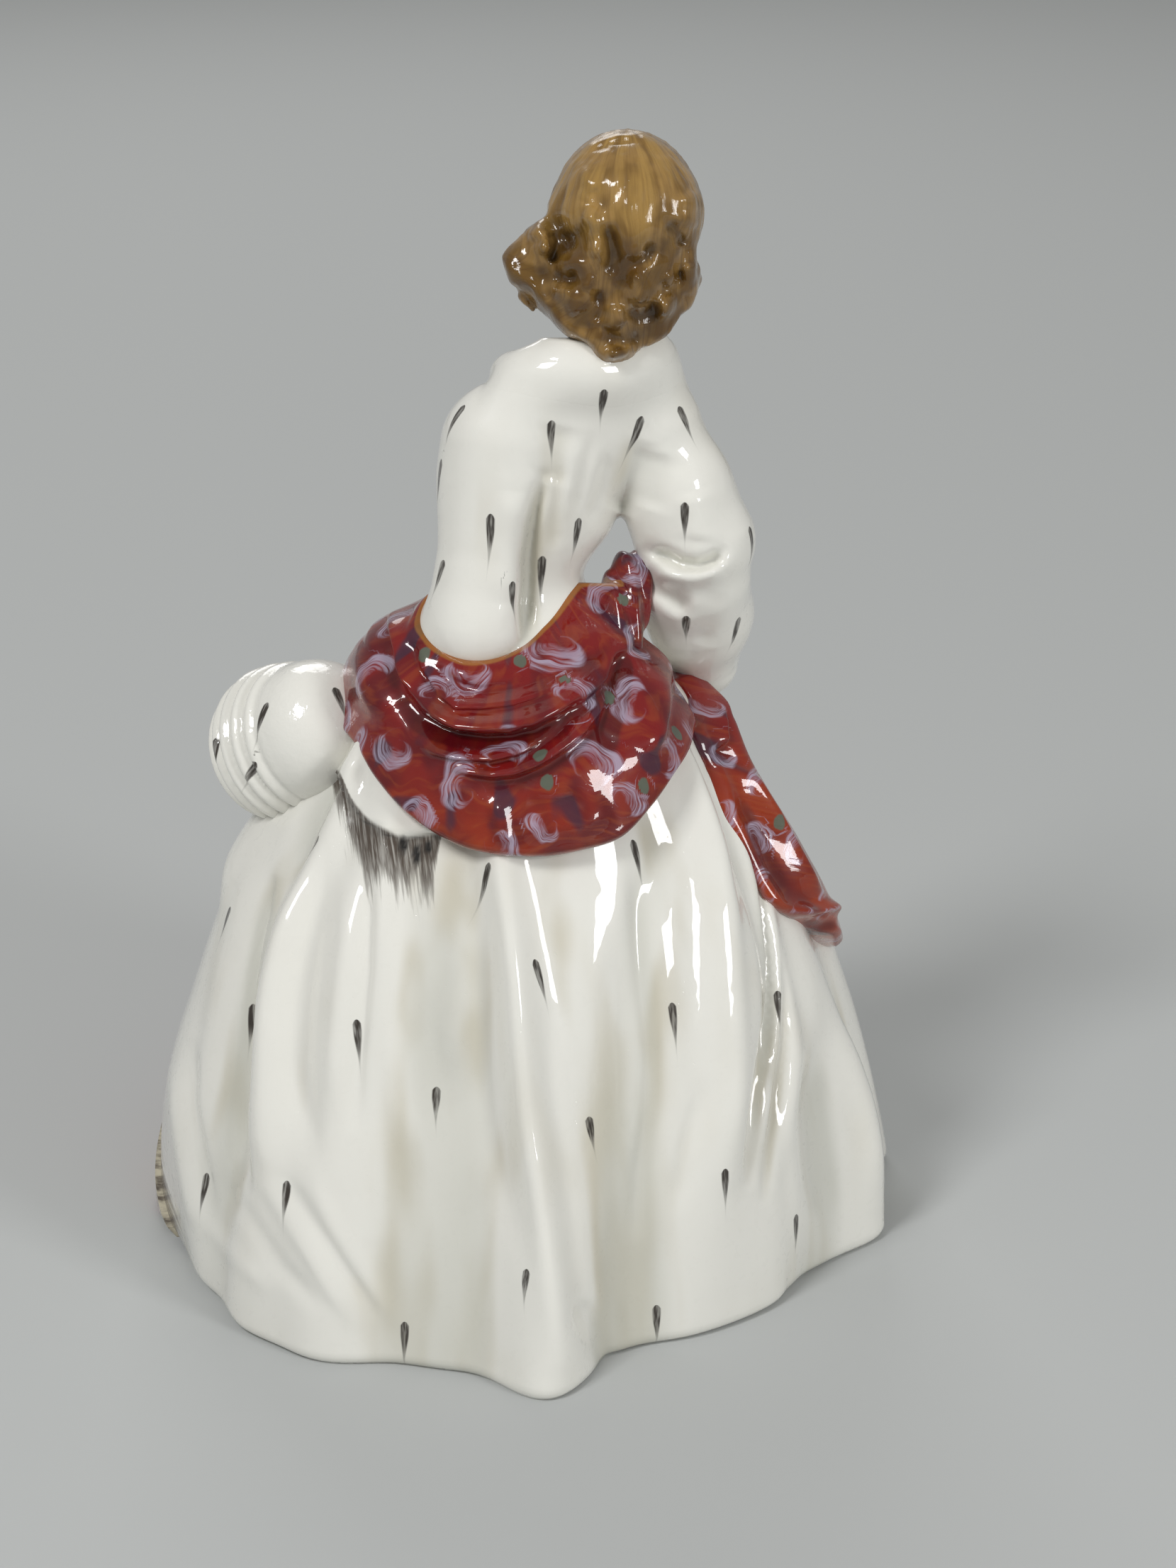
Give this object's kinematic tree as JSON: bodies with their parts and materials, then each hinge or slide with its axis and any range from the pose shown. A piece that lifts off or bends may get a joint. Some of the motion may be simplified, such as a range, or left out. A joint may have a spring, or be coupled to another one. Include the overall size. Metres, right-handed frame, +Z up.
{
  "type": "porcelain figurine",
  "caption": "Glazed porcelain lady figurine in a long ermine coat, with a patterned red stole and a fur muff.",
  "frame": {"origin": "middle of the figurine's footprint box, on the table under the hem", "axes": "+Z up, +Y to the viewer of the picture, behind the lady; she faces away, towards -Y and a little towards +X, so her left side is at +X"},
  "size_m": [0.118, 0.1128, 0.1708],
  "materials": {
    "white_coat_glaze": "clear gloss glaze over white porcelain, painted with small dark ermine tails and pale grey washes",
    "muff_glaze": "clear gloss glaze over white porcelain, painted with small dark ermine tails",
    "stole_glaze": "clear gloss glaze over deep red painting with pale comma strokes and ochre edges",
    "gown_glaze": "clear gloss glaze over red painting",
    "hair_glaze": "clear gloss glaze over brown painting in fine strands",
    "skin_glaze": "clear gloss glaze over pale skin tint",
    "bare_clay": "unglazed fired clay under the foot"
  },
  "bodies": {
    "root": {"coat_skirt": "white_coat_glaze", "gown_front": "gown_glaze", "base_plate": "bare_clay", "coat_bodice": "white_coat_glaze", "coat_collar": "white_coat_glaze", "left_sleeve": "white_coat_glaze", "right_sleeve": "white_coat_glaze", "right_hand": "skin_glaze", "muff": "muff_glaze", "head": "skin_glaze", "hair": "hair_glaze", "stole_back": "stole_glaze", "stole_gather": "stole_glaze", "stole_right_end": "stole_glaze", "stole_left_end": "stole_glaze"}
  },
  "joints": []
}
